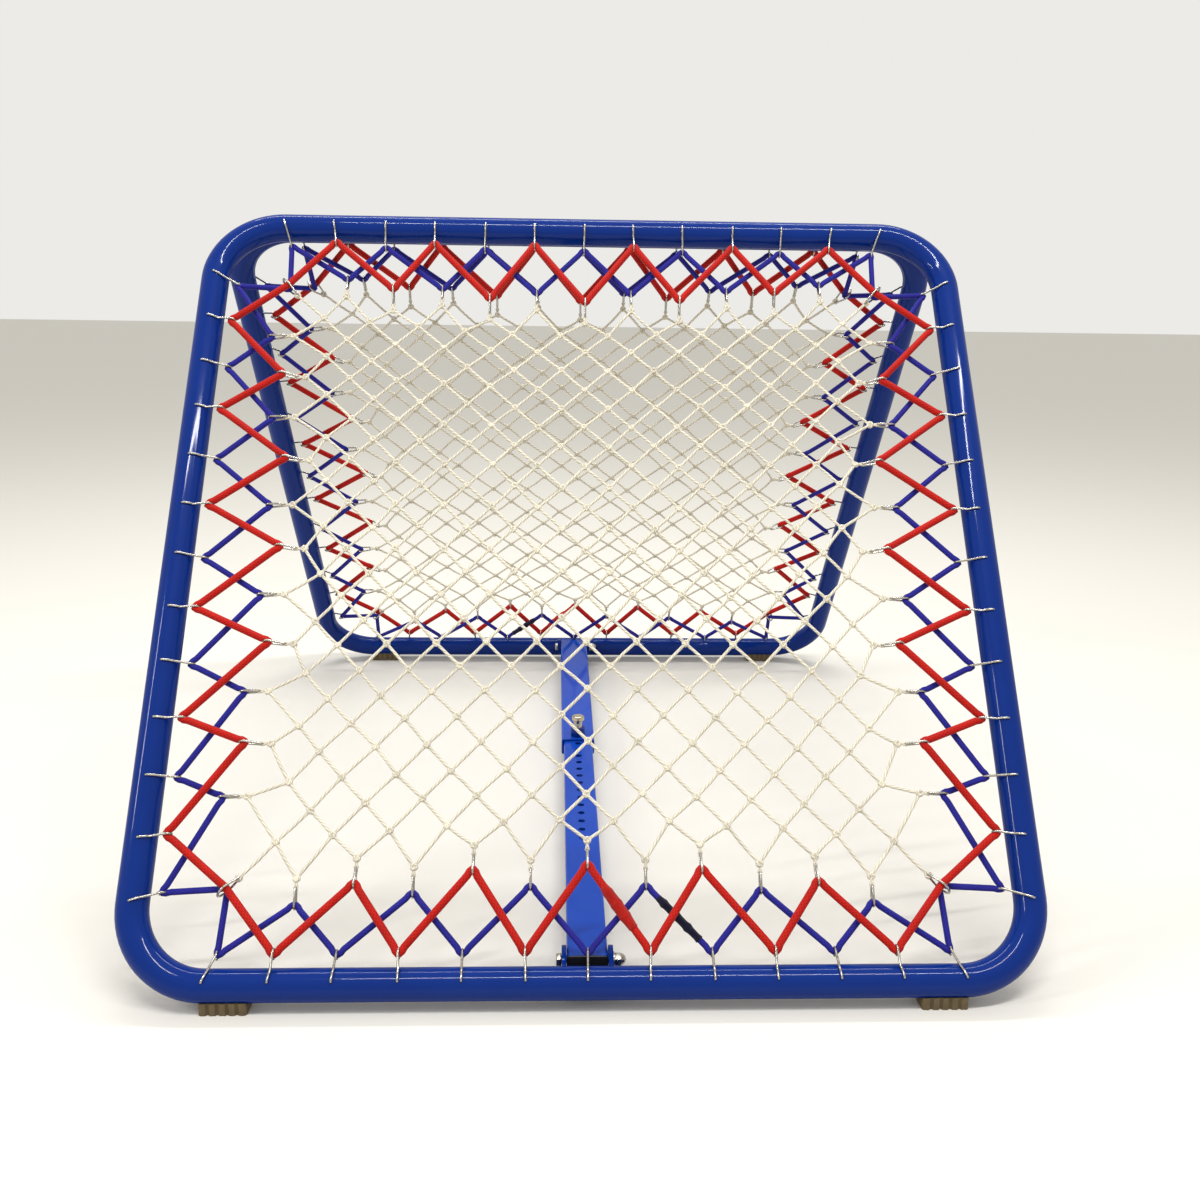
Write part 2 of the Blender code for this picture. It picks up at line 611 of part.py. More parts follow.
def plunger_moving(parent):
    """Pin with its collar and stem, and the knob that pulls it."""
    place = at(0, PLUNGER_Y, SLEEVE_TOP_Z)
    nose = BAR_TOP_Z + PIN_CLEARANCE - SLEEVE_TOP_Z
    knob_base = BARREL_HEIGHT + TOUCH
    stem_top = knob_base + KNOB_HEIGHT * STEM_DEPTH_SHARE
    collar_base = 2 * TOUCH
    collar_top = collar_base + COLLAR_HEIGHT
    pin = [(0.0, stem_top), (STEM_RADIUS, stem_top), (STEM_RADIUS, collar_top),
           (COLLAR_RADIUS, collar_top), (COLLAR_RADIUS, collar_base), (PIN_RADIUS, collar_base),
           (PIN_RADIUS, nose + NOSE_BEVEL), (PIN_RADIUS - NOSE_BEVEL, nose), (0.0, nose)]
    turned("plunger_pin", pin, 24, "zinc_steel", place, parent)
    bore = STEM_RADIUS + TOUCH
    top = knob_base + KNOB_HEIGHT
    waist = KNOB_RADIUS * KNOB_NECK_SHARE
    shoulder = 0.3 * KNOB_EDGE
    knob = [(0.0, top), (KNOB_RADIUS - KNOB_EDGE, top), (KNOB_RADIUS - shoulder, top - shoulder),
            (KNOB_RADIUS, top - KNOB_EDGE), (KNOB_RADIUS, knob_base + 1.5 * KNOB_NECK),
            (waist, knob_base + KNOB_NECK), (waist, knob_base), (bore, knob_base),
            (bore, stem_top + TOUCH), (0.0, stem_top + TOUCH)]
    turned("plunger_knob", knob, 24, "nickel_knob", place, parent)


clear_scene()
PARTS = new_collection("pitch_back_rebounder")
CUTTERS = new_collection("cutters")
sleeve_axis = joint_empty("strut_sleeve_axis", (0, PIVOT_Y, PIVOT_Z))
rear_axis = joint_empty("rear_frame_axis", (0, PIVOT_Y, PIVOT_Z), sleeve_axis)
front_fold = joint_empty("front_frame_fold_axis", (0, 0, HINGE_Z), rear_axis)
bar_axis = joint_empty("strut_bar_axis", (0, -PIVOT_Y, PIVOT_Z), front_fold)
plunger_axis = joint_empty("plunger_axis", (0, PLUNGER_Y, SLEEVE_TOP_Z), sleeve_axis)
whole_frame("front", -1, BAR_WIDTH, front_fold)
whole_frame("rear", 1, SLEEVE_WIDTH, rear_axis)
hinge("left", -HINGE_X, front_fold, rear_axis)
hinge("right", HINGE_X, front_fold, rear_axis)
strut_sleeve(sleeve_axis)
strut_bar(bar_axis)
plunger_fixed(sleeve_axis)
plunger_moving(plunger_axis)
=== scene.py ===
# %% [markdown]
# # Pitch back rebounder
# Two square tube frames are hinged along their top tubes and stand as an A.
# Each frame carries a knotted net, laced to the tube by a red and a blue
# elastic cord through wire hooks. A telescopic strut holds the frames apart.
# The CAD model gives every size and place, and this script adds the looks.

# %% Load the frame
import json
import math
import random

import bmesh
import bpy
from mathutils import Matrix, Vector


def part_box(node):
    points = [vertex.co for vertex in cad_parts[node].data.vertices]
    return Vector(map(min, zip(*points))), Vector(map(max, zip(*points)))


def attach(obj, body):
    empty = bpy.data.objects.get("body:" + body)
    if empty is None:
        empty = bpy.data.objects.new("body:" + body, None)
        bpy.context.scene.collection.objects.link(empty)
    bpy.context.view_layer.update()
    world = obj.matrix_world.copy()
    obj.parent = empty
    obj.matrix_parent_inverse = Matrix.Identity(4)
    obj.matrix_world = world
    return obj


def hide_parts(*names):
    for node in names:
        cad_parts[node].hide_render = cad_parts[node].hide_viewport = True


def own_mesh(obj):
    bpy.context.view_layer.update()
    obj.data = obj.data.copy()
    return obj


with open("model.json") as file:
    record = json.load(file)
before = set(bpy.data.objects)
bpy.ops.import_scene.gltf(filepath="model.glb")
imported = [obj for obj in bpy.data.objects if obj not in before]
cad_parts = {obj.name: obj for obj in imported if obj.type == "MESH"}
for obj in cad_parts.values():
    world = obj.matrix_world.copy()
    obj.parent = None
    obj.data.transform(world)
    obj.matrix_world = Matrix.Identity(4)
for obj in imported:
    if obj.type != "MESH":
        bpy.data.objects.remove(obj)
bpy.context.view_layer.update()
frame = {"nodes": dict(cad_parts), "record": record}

# %% [markdown]
# ## Camera
# A part with a lot of lacing reads best from the front and a little above its
# middle, so that both nets show, one through the other. The camera stands just
# off the middle line with a moderately wide lens and looks down a little.

# %% Camera
CAMERA_PLACE = Vector((-0.035, -1.686, 0.734))
CAMERA_LENS = 35.37
PITCH = math.radians(14.98)
YAW = math.radians(2.2)
ROLL = math.radians(0.83)

camera_data = bpy.data.cameras.new("camera")
camera_data.lens = CAMERA_LENS
camera_data.sensor_width = 36.0
camera = bpy.data.objects.new("camera", camera_data)
bpy.context.scene.collection.objects.link(camera)
aim = Matrix.Rotation(-YAW, 4, "Z") @ Matrix.Rotation(math.pi / 2 - PITCH, 4, "X")
camera.matrix_world = Matrix.Translation(CAMERA_PLACE) @ aim @ Matrix.Rotation(ROLL, 4, "Z")
bpy.context.scene.camera = camera
print("camera at", tuple(CAMERA_PLACE), "lens", CAMERA_LENS, "mm")

# %% [markdown]
# ## Colours and nodes
# Colours are written as the sRGB hex values that a paint card gives. One
# function turns them linear, and another adds a shader node with its settings
# and links, so that each material below reads as a short recipe.


# %% Colour and node helpers
def linear(code):
    """Turn an sRGB hex colour into a linear RGBA value."""
    channels = [int(code[i:i + 2], 16) / 255 for i in (1, 3, 5)]
    curve = [c / 12.92 if c <= 0.04045 else ((c + 0.055) / 1.055) ** 2.4 for c in channels]
    return (*curve, 1.0)


def add_node(tree, kind, inputs=None, **settings):
    """Add a shader node. An input given as a socket is linked, others are set."""
    node = tree.nodes.new("ShaderNode" + kind)
    for key, value in settings.items():
        setattr(node, key, value)
    for key, value in (inputs or {}).items():
        if isinstance(value, bpy.types.NodeSocket):
            tree.links.new(value, node.inputs[key])
        else:
            node.inputs[key].default_value = value
    return node


def new_material(name, values):
    """Start a Principled material and set its plain values."""
    material = bpy.data.materials.new(name)
    material.use_nodes = True
    shader = material.node_tree.nodes["Principled BSDF"]
    for key, value in values.items():
        shader.inputs[key].default_value = value
    return material, material.node_tree, shader


def noise(tree, size, detail=2.0):
    """Noise whose grains are about this size in metres."""
    place = add_node(tree, "TexCoord").outputs["Object"]
    grains = {"Vector": place, "Scale": 1 / size, "Detail": detail}
    return add_node(tree, "TexNoise", grains).outputs["Fac"]


def between(tree, factor, low, high):
    """Map a 0 to 1 factor onto a range of values."""
    limits = {"Value": factor, "From Min": 0.3, "From Max": 0.7, "To Min": low, "To Max": high}
    return add_node(tree, "MapRange", limits).outputs["Result"]


def mix_colours(tree, factor, first, second):
    """Blend two hex colours by a factor."""
    node = add_node(tree, "Mix", {0: factor}, data_type="RGBA")
    colour_a, colour_b, colour_out = 6, 7, 2
    node.inputs[colour_a].default_value = linear(first)
    node.inputs[colour_b].default_value = linear(second)
    return node.outputs[colour_out]


def bump(tree, shader, height, distance, strength=1.0):
    """Raise the surface by a height from 0 to 1, over a distance in metres."""
    node = add_node(tree, "Bump", {"Height": height, "Distance": distance, "Strength": strength})
    tree.links.new(node.outputs["Normal"], shader.inputs["Normal"])


print("helpers ready")

# %% [markdown]
# ## Floor and light
# A curved or textured backdrop would compete with the thin cords and twine, so
# the floor is one pale plane. Long, narrow ceiling lights give the white streaks
# that gloss tube shows, and the pale world fills the shadows. The plain view
# transform keeps the paint as deep as its colour card.

# %% Floor and light
FLOOR_SIDE = 40.0
LIGHTS = {
    "ceiling_front": ((0.3, -1.3, 3.0), (2.2, 0.10), 60.0),
    "ceiling_back": ((0.0, 1.2, 3.2), (3.0, 0.16), 48.0),
    "left_window": ((-2.6, -1.4, 1.9), (0.14, 0.9), 20.0),
}
WORLD_STRENGTH = 0.9

bpy.context.scene.view_settings.view_transform = "Standard"

floor_mesh = bpy.data.meshes.new("floor")
floor_shape = bmesh.new()
bmesh.ops.create_grid(floor_shape, x_segments=1, y_segments=1, size=FLOOR_SIDE / 2)
floor_shape.to_mesh(floor_mesh)
floor_shape.free()
floor = bpy.data.objects.new("floor", floor_mesh)
bpy.context.scene.collection.objects.link(floor)
floor_paint, _, _ = new_material("pale_floor", {
    "Base Color": linear("#D8D5CE"), "Roughness": 0.9, "Specular IOR Level": 0.1})
floor_mesh.materials.append(floor_paint)

world = bpy.data.worlds.new("pale_room")
world.use_nodes = True
world.node_tree.nodes["Background"].inputs["Color"].default_value = linear("#F7F6F2")
world.node_tree.nodes["Background"].inputs["Strength"].default_value = WORLD_STRENGTH
bpy.context.scene.world = world

for name, (place, size, power) in LIGHTS.items():
    lamp = bpy.data.lights.new(name, "AREA")
    lamp.shape = "RECTANGLE"
    lamp.size, lamp.size_y = size
    lamp.energy = power
    lamp_object = bpy.data.objects.new(name, lamp)
    bpy.context.scene.collection.objects.link(lamp_object)
    toward = Vector((0, 0, 0.3)) - Vector(place)
    lamp_object.rotation_euler = toward.to_track_quat("-Z", "Y").to_euler()
    lamp_object.location = place
print(len(LIGHTS), "lights")

# %% [markdown]
# ## Powder coat
# The frames and the strut are powder coated: paint baked on as a fine dust.
# It has an even colour, a high gloss and a faint ripple called orange peel,
# a millimetre or two across. A thin clear coat gives the sharp highlights over
# a soft, saturated body. The strut's coat is a lighter blue.

# %% Powder coat
ORANGE_PEEL = 0.0022
PEEL_HEIGHT = 0.00002
PEEL_STRENGTH = 0.5
SHADE_DRIFT = 0.12
GLOSS_DRIFT = 0.03


def powder_coat(name, deep, light):
    """Gloss powder coat between two close shades."""
    material, tree, shader = new_material(name, {
        "Coat Weight": 0.3, "Coat Roughness": 0.07, "Specular IOR Level": 0.02})
    shade = mix_colours(tree, noise(tree, SHADE_DRIFT), deep, light)
    tree.links.new(shade, shader.inputs["Base Color"])
    gloss = between(tree, noise(tree, GLOSS_DRIFT), 0.30, 0.42)
    tree.links.new(gloss, shader.inputs["Roughness"])
    bump(tree, shader, noise(tree, ORANGE_PEEL), PEEL_HEIGHT, PEEL_STRENGTH)
    return material


frame_paint = powder_coat("gloss_powder_coat_blue", "#00216A", "#002875")
strut_paint = powder_coat("gloss_powder_coat_light_blue", "#0C3A9C", "#1142AA")
print("powder coats", frame_paint.name, strut_paint.name)

# %% [markdown]
# ## Metals
# The hooks, bolts and washers are zinc plated, which is grey and a little
# cloudy. The plunger's knob is turned and nickel plated, warmer and brighter.
# Both are metals whose roughness varies, so that no highlight is perfectly even.


# %% Metals
CLOUD_SIZE = 0.006
SMEAR_SIZE = 0.003
PLATING_GRAIN = 0.0006
PLATING_HEIGHT = 0.00001


def plated_metal(name, deep, light, smooth, rough):
    """Plated steel: colour and roughness drift over a few millimetres."""
    material, tree, shader = new_material(name, {"Metallic": 1.0})
    shade = mix_colours(tree, noise(tree, CLOUD_SIZE), deep, light)
    tree.links.new(shade, shader.inputs["Base Color"])
    gloss = between(tree, noise(tree, SMEAR_SIZE), smooth, rough)
    tree.links.new(gloss, shader.inputs["Roughness"])
    bump(tree, shader, noise(tree, PLATING_GRAIN), PLATING_HEIGHT, 0.4)
    return material


zinc = plated_metal("zinc_plated_steel", "#9A968C", "#C4C0B6", 0.22, 0.40)
hook_wire = plated_metal("zinc_plated_wire", "#868279", "#C6C2B9", 0.16, 0.32)
nickel = plated_metal("nickel_plated_knob", "#A3977C", "#CFC4A6", 0.14, 0.26)
print("metals", zinc.name, hook_wire.name, nickel.name)

# %% [markdown]
# ## Rubber and moulded plastic
# The feet are a brown rubber, matt and dusty in its hollows. The plug in the bar's
# end is black moulded plastic, with the fine grain of a spark-eroded mould.


# %% Rubber and plastic
DUST_SIZE = 0.008
MOULD_HEIGHT = 0.00006


def moulded(name, deep, light, roughness, grain):
    """Matt moulded stuff with a fine grain."""
    material, tree, shader = new_material(name, {"Roughness": roughness})
    shade = mix_colours(tree, noise(tree, DUST_SIZE, 4.0), deep, light)
    tree.links.new(shade, shader.inputs["Base Color"])
    bump(tree, shader, noise(tree, grain), MOULD_HEIGHT, 0.5)
    return material


rubber = moulded("moulded_rubber_brown", "#4A3D26", "#6B5A3C", 0.72, 0.0009)
plastic = moulded("moulded_plastic_black", "#101011", "#1D1D1F", 0.45, 0.0004)
print("moulded", rubber.name, plastic.name)

# %% [markdown]
# ## Braided cord and twisted twine
# Elastic cord has a braided sleeve: two sets of yarns that wind opposite ways.
# Twine has strands that all wind one way. Both patterns are waves over the
# piece's own UV map, which runs in metres along the cord and from 0 to 1 round
# it, so that they follow every bend. A whole number of waves goes round, so
# that the seam closes. The same wave that raises the strands also paints shade
# into the grooves between them: the deep colour there is painted shade.

# %% Cord materials
BRAID_PITCH = 0.0045
BRAID_YARNS = 6
TWIST_PITCH = 0.0055
TWIST_STRANDS = 3
WEAR_SIZE = 0.02
YARN_HEIGHT = 0.0003
BINDING_HEIGHT = 0.0004


def wound_wave(tree, pitch, count, hand):
    """Wave from 0 to 1 that winds round a cord, left or right handed."""
    uv = add_node(tree, "SeparateXYZ", {0: add_node(tree, "UVMap").outputs[0]})
    along = add_node(tree, "Math", {0: uv.outputs["X"], 1: 2 * math.pi / pitch},
                     operation="MULTIPLY").outputs[0]
    turn = add_node(tree, "Math", {0: uv.outputs["Y"], 1: hand * 2 * math.pi * count, 2: along},
                    operation="MULTIPLY_ADD").outputs[0]
    wave = add_node(tree, "Math", {0: turn}, operation="SINE").outputs[0]
    return add_node(tree, "Math", {0: wave, 1: 0.5, 2: 0.5}, operation="MULTIPLY_ADD").outputs[0]


def cord_material(name, deep, light, height, braid):
    """Textile cord: braided from two hands of yarn, or twisted with one, with shade painted into its
    grooves.
    """
    material, tree, shader = new_material(name, {
        "Roughness": 0.68, "Sheen Weight": 0.08, "Sheen Roughness": 0.4, "Specular IOR Level": 0.15})
    if braid:
        first = wound_wave(tree, BRAID_PITCH, BRAID_YARNS, 1)
        second = wound_wave(tree, BRAID_PITCH, BRAID_YARNS, -1)
        yarn_relief_and_shade = add_node(tree, "Math", {0: first, 1: second}, operation="MAXIMUM").outputs[0]
    else:
        yarn_relief_and_shade = wound_wave(tree, TWIST_PITCH, TWIST_STRANDS, 1)
    # Painted shade: the deep colour goes into the grooves between strands, where the wave is low,
    # and the light colour onto their crowns.
    shade = mix_colours(tree, yarn_relief_and_shade, deep, light)
    worn = add_node(tree, "HueSaturation", {"Color": shade})
    tree.links.new(between(tree, noise(tree, WEAR_SIZE), 0.88, 1.08), worn.inputs["Value"])
    tree.links.new(worn.outputs[0], shader.inputs["Base Color"])
    bump(tree, shader, yarn_relief_and_shade, height, 0.7)
    return material


red_braid = cord_material("braided_elastic_red", "#820A04", "#B4160A", YARN_HEIGHT, True)
blue_braid = cord_material("braided_elastic_blue", "#141266", "#242286", YARN_HEIGHT, True)
red_binding = cord_material("bound_splice_red", "#960F08", "#C41B0E", BINDING_HEIGHT, False)
blue_binding = cord_material("bound_splice_dark", "#0A0918", "#19163A", BINDING_HEIGHT, False)
twine = cord_material("twisted_twine_cream", "#B6AE9A", "#E2DCCB", YARN_HEIGHT, False)
print("cords", red_braid.name, blue_braid.name, twine.name)

# %% [markdown]
# ## The frames' own coordinates
# Everything on a frame lies near one slanting plane, so it is laid out flat:
# x along the bottom tube, y up the slope from it, and z out of the plane. One
# matrix stands that drawing up as the front frame, and a half turn makes the
# rear one. The lean and the places come from the CAD tube's own box.

# %% Frame coordinates
TUBE_RADIUS = 0.0175

low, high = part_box("front_frame_tube")
half = (high.x - low.x) / 2 - TUBE_RADIUS
lean = math.asin((high.z - low.z - 2 * TUBE_RADIUS) / (2 * half))
stand_up = Matrix.Translation((0, low.y + TUBE_RADIUS, low.z + TUBE_RADIUS))
front_place = stand_up @ Matrix.Rotation(lean, 4, "X")
places = {"front": front_place, "rear": Matrix.Rotation(math.pi, 4, "Z") @ front_place}


def on_side(side, along, inset, lift):
    """Point by one of the four sides, counted anticlockwise from the bottom."""
    turn = Matrix.Rotation(side * math.pi / 2, 4, "Z")
    return turn @ Vector((along, inset - half, lift)) + Vector((0, half, 0))


print("lean", round(math.degrees(lean), 2), "degrees, half side", round(half, 4), "m")

# %% [markdown]
# ## Running a round section along paths
# Tube, wire, cord and twine are one round section on a path, which a curve
# object with a bevel does well. Afterwards the curve is made a mesh, moved into
# its place, and its UV map is stretched so that it counts in metres.


# %% Wires along paths
MERGE_DISTANCE = 0.00001


def run_wires(name, paths, diameter, sides, material, body, place):
    """Run a round wire along each (points, closed) path and return one piece."""
    curve = bpy.data.curves.new(name, "CURVE")
    curve.dimensions = "3D"
    curve.fill_mode = "FULL"
    curve.bevel_depth = diameter / 2
    curve.bevel_resolution = sides // 2 - 2         # a resolution of 0 has four sides
    curve.use_fill_caps = True
    for points, closed in paths:
        spline = curve.splines.new("POLY")
        spline.points.add(len(points) - 1)
        for knot, point in zip(spline.points, points):
            knot.co = (*point, 1.0)
        spline.use_cyclic_u = closed
    holder = bpy.data.objects.new(name, curve)
    bpy.context.scene.collection.objects.link(holder)
    bpy.context.view_layer.update()
    graph = bpy.context.evaluated_depsgraph_get()
    mesh = bpy.data.meshes.new_from_object(holder.evaluated_get(graph))
    bpy.data.objects.remove(holder)
    stretch = sum(path_length(*path) for path in paths) / len(paths)
    for corner in mesh.uv_layers[0].data:
        corner.uv.x *= stretch
    mesh.transform(place)
    mesh.shade_smooth()
    piece = bpy.data.objects.new(name, mesh)
    bpy.context.scene.collection.objects.link(piece)
    mesh.materials.append(material)
    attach(piece, body)
    return piece


def path_length(points, closed):
    """Length of a path, with its closing leg if it has one."""
    legs = zip(points, points[1:] + (points[:1] if closed else []))
    return sum((b - a).length for a, b in legs)


def close_points(mesh):
    """Merge the doubled points where a curve's caps meet its sides."""
    shape = bmesh.new()
    shape.from_mesh(mesh)
    bmesh.ops.remove_doubles(shape, verts=shape.verts, dist=MERGE_DISTANCE)
    shape.to_mesh(mesh)
    shape.free()


print("wire maker ready")

# %% [markdown]
# ## Frame tubes
# Each frame is one steel tube bent round four corners. The straight sides need
# no points between their ends, and each bend is an arc. Twenty-eight sides and
# smooth shading give a round highlight with few faces.

# %% Frame tubes
CORNER_RADIUS = 0.085
CORNER_STEPS = 18
TUBE_SIDES = 28


def tube_path():
    """Centre line of a square frame with round corners."""
    points = []
    for side in range(4):
        for i in range(CORNER_STEPS + 1):
            turn = math.pi / 2 * i / CORNER_STEPS
            along = half - CORNER_RADIUS + CORNER_RADIUS * math.sin(turn)
            inset = CORNER_RADIUS * (1 - math.cos(turn))
            points.append(on_side(side, along, inset, 0))
    return points


for end, place in places.items():
    tube = run_wires(end + "_tube", [(tube_path(), True)], 2 * TUBE_RADIUS, TUBE_SIDES,
                     frame_paint, end + "_frame", place)
    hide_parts(end + "_frame_tube")
    print(tube.name, len(tube.data.polygons), "faces")

# %% [markdown]
# ## Lacing plan
# Each side of the tube has thirteen hooks. The blue cord takes every other one,
# starting with the first, and the red cord takes those between. Between two
# tube hooks the cord runs to a hook on the net's edge. At a corner both cords
# share one net hook, which draws the nearest bends in from their hooks' holes.
# A millimetre or two of unevenness comes from hand lacing. The front net was
# laced a little high: its side hooks stand closer together and nearer the top.

# %% Lacing plan
HOOKS_PER_SIDE = 13
HOOK_SPAN = 0.3963
NET_HOOK_PITCH = 0.0622
CORNER_INSET = 0.0985
TUBE_BEND_INSET = 0.030
LOOSENESS = 0.0015
CORNER_DRAW = 0.0087
DRAW_FADE = 6               # the higher, the closer the draw keeps to the corners
LACING_SEED = 11
SIDE_RISE = {"front": 0.0125, "rear": 0.0}
SIDE_SPREAD = {"front": 0.953, "rear": 1.0}
CORDS = {
    "red": {"first": 1, "middle": 0.1215, "end": 0.1025, "lift": 0.011, "diameter": 0.0085},
    "blue": {"first": 0, "middle": 0.1015, "end": 0.0825, "lift": 0.001, "diameter": 0.007},
}


def corner_draw(hole):
    """How far a bend is drawn in from its hook's hole: most at the corners."""
    return math.copysign(CORNER_DRAW * (abs(hole) / HOOK_SPAN) ** DRAW_FADE, hole)


def net_hook_place(end, side, step):
    """Where a net hook stands along its side. Odd sides run up and down the slope."""
    along = step * NET_HOOK_PITCH
    if side % 2:
        up = 1 if side == 1 else -1
        along = along * SIDE_SPREAD[end] + up * SIDE_RISE[end]
    return along


def lacing(end, colour, dice):
    """Tube bends and net bends of one cord, each as (side, along, inset, kind)."""
    plan = CORDS[colour]
    middle = (HOOKS_PER_SIDE - 1) / 2
    last = HOOKS_PER_SIDE - 1 - plan["first"]
    bends = []
    for side in range(4):
        bends.append((side, CORNER_INSET - half, CORNER_INSET, "corner"))
        for hook in range(plan["first"], last + 1, 2):
            hole = (hook - middle) * HOOK_SPAN / middle
            bends.append((side, hole - corner_draw(hole), TUBE_BEND_INSET, "tube"))
            if hook < last:
                step = hook + 1 - middle
                share = (step / (last - 1 - middle)) ** 2
                inset = plan["middle"] + (plan["end"] - plan["middle"]) * share
                along = net_hook_place(end, side, step) + dice.uniform(-LOOSENESS, LOOSENESS)
                bends.append((side, along, inset + dice.uniform(-LOOSENESS, LOOSENESS), "net"))
    return bends


plans = {}
for number, end in enumerate(places):
    dice = random.Random(LACING_SEED + number)
    plans[end] = {colour: lacing(end, colour, dice) for colour in CORDS}
print({end: [len(bends) for bends in plan.values()] for end, plan in plans.items()})

# %% [markdown]
# ## Elastic cords
# A cord is straight between hooks and turns through a tight bend at each one.
# The bend is a short parabola that touches its hook. The path is then walked in
# equal steps, so that the braid keeps one pitch all the way round.

# %% Elastic cords
BEND_REACH = 0.009
BEND_STEPS = 5
CORD_STEP = 0.006
CORD_SIDES = 12


def bent_path(corners):
    """Round every corner of a closed path with a parabola through it."""
    points = []
    for i, corner in enumerate(corners):
        before = corner + (corners[i - 1] - corner).normalized() * BEND_REACH
        after = corner + (corners[(i + 1) % len(corners)] - corner).normalized() * BEND_REACH
        pull = 2 * corner - (before + after) / 2
        for step in range(BEND_STEPS + 1):
            t = step / BEND_STEPS
            points.append(before * (1 - t) ** 2 + pull * 2 * t * (1 - t) + after * t ** 2)
    return points


def filled_path(points):
    """Add points on the straight legs of a closed path."""
    filled = []
    for a, b in zip(points, points[1:] + points[:1]):
        steps = max(1, round((b - a).length / CORD_STEP))
        filled += [a.lerp(b, i / steps) for i in range(steps)]
    return filled


for end, place in places.items():
    for colour, paint in (("red", red_braid), ("blue", blue_braid)):
        lift = CORDS[colour]["lift"]
        corners = [on_side(*bend[:3], lift) for bend in plans[end][colour]]
        cord = run_wires("%s_%s_elastic" % (end, colour), [(filled_path(bent_path(corners)), True)],
                         CORDS[colour]["diameter"], CORD_SIDES, paint,
                         end + "_frame", place)
        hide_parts("%s_%s_cord" % (end, colour))
        print(cord.name, len(cord.data.polygons), "faces")

# %% [markdown]
# ## Splices
# Each cord's two ends lie side by side and are bound with thin line, which
# leaves a stiff bulge with small ridges where the turns of the line heap up. Its
# profile swells and narrows, so the section follows a row of radii along the leg.

# %% Splices
SPLICE_LENGTH = {"red": 0.054, "blue": 0.062}
SPLICE_SWELL = {"red": 0.50, "blue": 0.24}
SPLICE_RIDGES = {"red": 0.14, "blue": 0.30}
SPLICE_STEPS = 30
SPLICE_SIDES = 14
SPLICE_FIT = 1.02           # the binding's radius against the cord's own
SWELL_POWER = 0.6           # below one, the bulge rises early and stays thick
RIDGE_TURNS = 11            # radians of the ridges' wave along the splice
RIDGE_POWER = 8             # the higher, the narrower each ridge


def splice(end, colour, paint):
    """Swollen binding on the leg to the right of the middle of the bottom side."""
    first = CORDS[colour]["first"]
    start = (HOOKS_PER_SIDE - 1) // 2 + 2 * (1 - first)
    lift = CORDS[colour]["lift"]
    a, b = (on_side(*plans[end][colour][start + i][:3], lift) for i in (0, 1))
    middle = (a + b) / 2
    half_leg = (b - a).normalized() * SPLICE_LENGTH[colour] / 2
    shape = bmesh.new()
    turn = (b - a).to_track_quat("Z", "Y").to_matrix().to_4x4()
    radius = CORDS[colour]["diameter"] / 2
    edges = None
    for step in range(SPLICE_STEPS + 1):
        t = step / SPLICE_STEPS
        bulge = SPLICE_SWELL[colour] * math.sin(math.pi * t) ** SWELL_POWER
        ridge = SPLICE_RIDGES[colour] * math.sin(RIDGE_TURNS * t) ** RIDGE_POWER
        swell = radius * (SPLICE_FIT + bulge + ridge)
        ring_place = Matrix.Translation(middle + half_leg * (2 * t - 1)) @ turn
        ring = bmesh.ops.create_circle(shape, cap_ends=False, segments=SPLICE_SIDES,
                                       radius=swell, matrix=ring_place)["verts"]
        ring_edges = list({edge for vert in ring for edge in vert.link_edges})
        if edges:
            bmesh.ops.bridge_loops(shape, edges=edges + ring_edges)
        else:
            bmesh.ops.contextual_create(shape, geom=ring_edges)
        edges = ring_edges
    bmesh.ops.contextual_create(shape, geom=edges)
    bmesh.ops.recalc_face_normals(shape, faces=shape.faces)
    mesh = bpy.data.meshes.new("%s_%s_binding" % (end, colour))
    shape.to_mesh(mesh)
    shape.free()
    mesh.transform(places[end])
    mesh.shade_smooth()
    mesh.uv_layers.new(name="UVMap")
    mesh.materials.append(paint)
    piece = bpy.data.objects.new(mesh.name, mesh)
    bpy.context.scene.collection.objects.link(piece)
    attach(piece, end + "_frame")
    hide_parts("%s_%s_splice" % (end, colour))
    return piece


for end in places:
    splice(end, "red", red_binding)
    splice(end, "blue", blue_binding)
print("four splices")

# %% [markdown]
# ## Tube hooks
# A hook is one bent wire. It starts in a hole on the outward face of the tube,
# lies over the tube towards the net, and ends in a curl round the cord's bend.
# At the corners the hook follows the cord's pull and lies at an angle.

# %% Tube hooks
HOOK_WIRE = 0.0028
HOOK_HOLE_ANGLE = math.radians(84)
HOOK_LEAVE_ANGLE = math.radians(44)
HOOK_SIDES = 6
HOOK_GAP = 0.0002           # between the wire and the tube it lies on
HOOK_DEPTH = 0.002          # how far the wire's end goes into its hole
HOOK_SKEW = 1.5             # how far a corner's hook leans with its cord
SADDLE_STEPS = 6
CURL_START = math.radians(80)
CURL_TURN = math.radians(225)
CURL_STEPS = 8
HOOK_SEED = 23


def hook_profile(colour):
    """Hook as (inset, lift) points, from the hole over the tube and round the cord."""
    over = TUBE_RADIUS + HOOK_WIRE / 2 + HOOK_GAP
    lift = CORDS[colour]["lift"]
    curl = CORDS[colour]["diameter"] / 2 + HOOK_WIRE / 2
    inside = TUBE_RADIUS - HOOK_DEPTH
    profile = [(inside * math.cos(HOOK_HOLE_ANGLE), inside * math.sin(HOOK_HOLE_ANGLE))]
    for i in range(SADDLE_STEPS + 1):
        angle = HOOK_HOLE_ANGLE + (HOOK_LEAVE_ANGLE - HOOK_HOLE_ANGLE) * i / SADDLE_STEPS
        profile.append((over * math.cos(angle), over * math.sin(angle)))
    for i in range(CURL_STEPS + 1):
        angle = CURL_START - CURL_TURN * i / CURL_STEPS
        profile.append((TUBE_BEND_INSET + curl * math.cos(angle), lift + curl * math.sin(angle)))
    return profile


